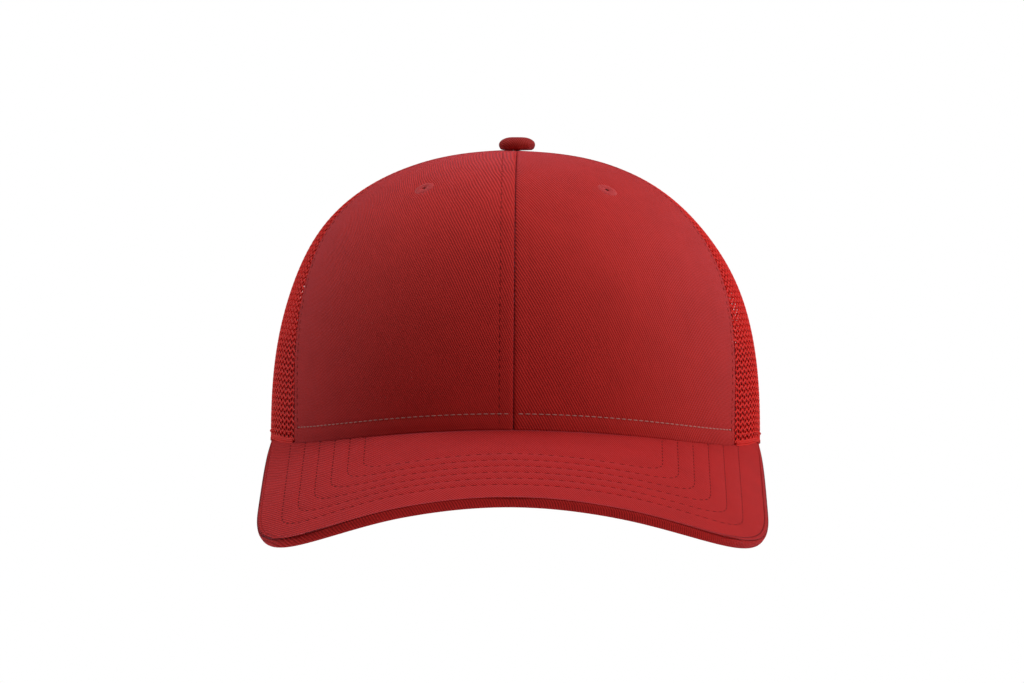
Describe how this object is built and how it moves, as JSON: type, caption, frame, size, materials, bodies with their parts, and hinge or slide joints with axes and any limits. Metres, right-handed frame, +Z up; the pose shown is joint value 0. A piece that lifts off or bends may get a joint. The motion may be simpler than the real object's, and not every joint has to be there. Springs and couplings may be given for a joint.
{
  "type": "trucker cap",
  "caption": "Trucker cap with solid twill front, open net sides and back, curved stitched visor, top button and rear snap strap.",
  "frame": {"origin": "centre of the head opening, level with the crown's lower edge at its sides and back", "axes": "+Z up through the crown, front and visor at -Y, the wearer's left at +X"},
  "size_m": [0.17, 0.2564, 0.1318],
  "materials": {
    "red_twill": "cotton twill with a diagonal weave",
    "red_net": "open knitted polyester net, slightly glossy",
    "tape": "narrow woven tape",
    "buckram": "stiff fused open-weave interfacing",
    "band_cloth": "brushed cotton twill",
    "foam": "thin open-cell interlining",
    "thread": "embroidery thread",
    "tin": "tin plate",
    "board_plastic": "flexible polyethylene board",
    "strap_plastic": "satin moulded plastic"
  },
  "bodies": {
    "cap": {"front_panel_left": "red_twill", "front_panel_right": "red_twill", "buckram_left": "buckram", "buckram_right": "buckram", "side_mesh_left": "red_net", "side_mesh_right": "red_net", "back_mesh_left": "red_net", "back_mesh_right": "red_net", "front_seam_tape": "tape", "front_side_tape_left": "tape", "front_side_tape_right": "tape", "side_back_tape_left": "tape", "side_back_tape_right": "tape", "back_seam_tape": "tape", "mesh_hem_left": "red_net", "mesh_hem_right": "red_net", "arch_binding": "red_twill", "sweatband": "band_cloth", "sweatband_foam": "foam", "sweatband_piping": "tape", "eyelet_left": "thread", "eyelet_right": "thread", "button_cover": "red_twill", "button_shell": "tin", "button_rivet": "tin", "button_washer": "tin", "visor_top_cover": "red_twill", "visor_board": "board_plastic", "visor_under_cover": "red_twill", "hole_strap_end": "strap_plastic", "peg_strap_end": "strap_plastic"},
    "hole_strap": {"hole_strap": "strap_plastic"},
    "peg_strap": {"peg_strap": "strap_plastic"}
  },
  "joints": [
    {"name": "hole_strap_bend", "type": "hinge", "parent": "cap", "child": "hole_strap", "pos_m": [-0.03, 0.09016, 0.0115], "axis": [0, 0, 1], "range_deg": [0, 75], "stiffness_Nm_per_rad": 0.01},
    {"name": "peg_strap_bend", "type": "hinge", "parent": "cap", "child": "peg_strap", "pos_m": [0.03, 0.0889, 0.0115], "axis": [0, 0, 1], "range_deg": [0, 55], "stiffness_Nm_per_rad": 0.01}
  ]
}
